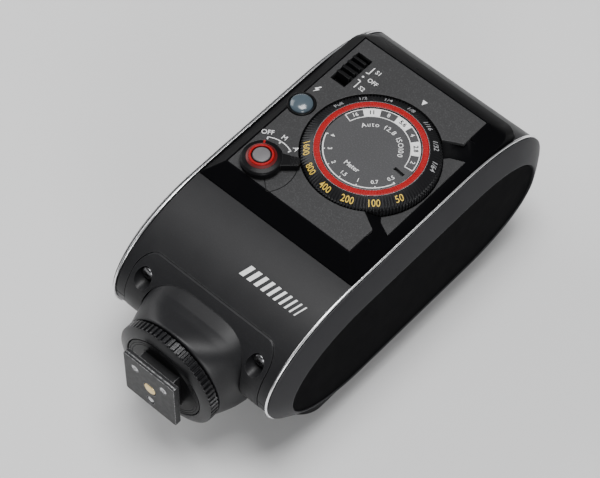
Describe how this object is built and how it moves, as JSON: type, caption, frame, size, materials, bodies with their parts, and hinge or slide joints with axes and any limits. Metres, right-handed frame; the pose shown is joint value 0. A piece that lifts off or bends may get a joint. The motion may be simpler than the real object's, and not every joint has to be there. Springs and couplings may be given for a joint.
{
  "type": "camera flash",
  "caption": "Oval hot-shoe camera flash with an exposure dial, mode lever, test button, slide switch, locking shoe foot and a folding fan reflector round its lamp.",
  "frame": {"origin": "centre of the flash in plan, on the plane its front cover rests on", "axes": "+Z out of the control panel, +Y towards the top end of the flash, away from the shoe foot, +X to the right seen from behind"},
  "size_m": [0.064, 0.131, 0.0599],
  "materials": {
    "black_shell": "satin black with fine texture, glossy on the plinth's slopes",
    "cheek_black": "satin black",
    "panel_black": "fine sand texture",
    "bright_trim": "polished",
    "dial_black": "black anodised, knurled",
    "red_ring": "red anodised, spun",
    "grey_cap": "satin",
    "smoke_button": "translucent grey",
    "control_black": "satin",
    "foot_metal": "black coating worn at the edges",
    "steel": "turned",
    "contact_gold": "gold plated",
    "fan_metal": "polished sheet",
    "reflector": "vacuum coated",
    "clear_glass": "clear",
    "lens_plastic": "frosted clear plastic",
    "circuit_board": "solder mask",
    "winding_copper": "enamelled copper wire",
    "cell_wrap": "shrink wrap",
    "switch_metal": "tinned",
    "white_print": "white screen print for the scales and legends",
    "yellow_print": "yellow screen print for the film-speed numbers"
  },
  "bodies": {
    "housing": {"rear_shell": "black_shell", "front_shell": "black_shell", "left_cheek": "cheek_black", "right_cheek": "cheek_black", "left_trim": "bright_trim", "right_trim": "bright_trim", "left_side_inlay": "control_black", "right_side_inlay": "control_black", "control_panel": "panel_black", "scallop_plate": "panel_black", "dial_disc": "dial_black", "button_bezel": "control_black", "switch_well": "control_black", "main_board": "circuit_board", "dial_encoder": "switch_metal", "mode_switch": "control_black", "test_switch": "control_black", "slide_contact": "switch_metal", "battery_cell": "cell_wrap", "main_capacitor": "control_black", "transformer": "winding_copper", "trigger_coil": "winding_copper", "shoe_saddle": "black_shell", "saddle_screw_left": "steel", "saddle_screw_right": "steel", "neck_barrel": "black_shell", "foot_plate": "foot_metal", "foot_screw_left": "steel", "foot_screw_right": "steel", "front_cover": "cheek_black", "cover_spacer": "cheek_black", "cover_screw_left": "steel", "cover_screw_right": "steel", "lamp_hub": "control_black", "lamp_reflector": "reflector", "flash_tube": "clear_glass", "lamp_dome": "lens_plastic", "lamp_bezel": "steel"},
    "dial": {"dial_ring": "dial_black", "dial_red_ring": "red_ring"},
    "lever": {"mode_lever": "control_black", "lever_red_ring": "red_ring", "lever_cap": "grey_cap"},
    "button": {"test_button": "smoke_button"},
    "switch": {"switch_knob": "control_black"},
    "lock_wheel": {"locking_ring": "dial_black"},
    "clamp_plate": {"pressure_plate": "control_black"},
    "lock_pin": {"locking_pin": "steel"},
    "contact": {"contact_pin": "contact_gold"},
    "fan_1": {"fan_leaf_1": "fan_metal"},
    "fan_2": {"fan_leaf_2": "fan_metal"},
    "fan_3": {"fan_leaf_3": "fan_metal"},
    "fan_4": {"fan_leaf_4": "fan_metal"},
    "fan_5": {"fan_leaf_5": "fan_metal"},
    "fan_6": {"fan_leaf_6": "fan_metal"},
    "fan_7": {"fan_leaf_7": "fan_metal", "fan_tab": "control_black"}
  },
  "joints": [
    {"name": "dial_turn", "type": "hinge", "parent": "housing", "child": "dial", "pos_m": [0.00495, 0.0183, 0.056], "axis": [0, 0, 1], "range_deg": [-70, 70]},
    {"name": "lever_turn", "type": "hinge", "parent": "housing", "child": "lever", "pos_m": [-0.01475, -0.0043, 0.056], "axis": [0, 0, 1], "range_deg": [-58, 0]},
    {"name": "button_press", "type": "slide", "parent": "housing", "child": "button", "axis": [0, 0, -1], "range_m": [0, 0.0008], "stiffness_N_per_m": 600},
    {"name": "switch_slide", "type": "slide", "parent": "housing", "child": "switch", "axis": [0, 1, 0], "range_m": [-0.002, 0.002]},
    {"name": "lock_turn", "type": "hinge", "parent": "housing", "child": "lock_wheel", "pos_m": [0, -0.0556, 0.028], "axis": [0, 1, 0], "range_deg": [0, 270]},
    {"name": "plate_clamp", "type": "slide", "parent": "housing", "child": "clamp_plate", "axis": [0, -1, 0], "range_m": [0, 0.0012]},
    {"name": "pin_slide", "type": "slide", "parent": "housing", "child": "lock_pin", "axis": [0, -1, 0], "range_m": [0, 0.0015]},
    {"name": "contact_press", "type": "slide", "parent": "housing", "child": "contact", "axis": [0, 1, 0], "range_m": [0, 0.0003], "stiffness_N_per_m": 600},
    {"name": "fan_1_turn", "type": "hinge", "parent": "housing", "child": "fan_1", "pos_m": [0, 0.0352, 0.0035], "axis": [0, 0, 1], "range_deg": [0, 45]},
    {"name": "fan_2_turn", "type": "hinge", "parent": "housing", "child": "fan_2", "pos_m": [0, 0.0352, 0.0044], "axis": [0, 0, 1], "range_deg": [0, 90]},
    {"name": "fan_3_turn", "type": "hinge", "parent": "housing", "child": "fan_3", "pos_m": [0, 0.0352, 0.0053], "axis": [0, 0, 1], "range_deg": [0, 135]},
    {"name": "fan_4_turn", "type": "hinge", "parent": "housing", "child": "fan_4", "pos_m": [0, 0.0352, 0.0062], "axis": [0, 0, 1], "range_deg": [0, 180]},
    {"name": "fan_5_turn", "type": "hinge", "parent": "housing", "child": "fan_5", "pos_m": [0, 0.0352, 0.0071], "axis": [0, 0, 1], "range_deg": [0, 225]},
    {"name": "fan_6_turn", "type": "hinge", "parent": "housing", "child": "fan_6", "pos_m": [0, 0.0352, 0.008], "axis": [0, 0, 1], "range_deg": [0, 270]},
    {"name": "fan_7_turn", "type": "hinge", "parent": "housing", "child": "fan_7", "pos_m": [0, 0.0352, 0.0089], "axis": [0, 0, 1], "range_deg": [0, 315]}
  ],
  "couplings": [
    {"joint": "plate_clamp", "follows": "lock_turn", "m_per_rad": 0.0002546},
    {"joint": "pin_slide", "follows": "lock_turn", "m_per_rad": 0.0003183},
    {"joint": "fan_1_turn", "follows": "fan_7_turn", "ratio": 0.14286},
    {"joint": "fan_2_turn", "follows": "fan_7_turn", "ratio": 0.28571},
    {"joint": "fan_3_turn", "follows": "fan_7_turn", "ratio": 0.42857},
    {"joint": "fan_4_turn", "follows": "fan_7_turn", "ratio": 0.57143},
    {"joint": "fan_5_turn", "follows": "fan_7_turn", "ratio": 0.71429},
    {"joint": "fan_6_turn", "follows": "fan_7_turn", "ratio": 0.85714}
  ]
}
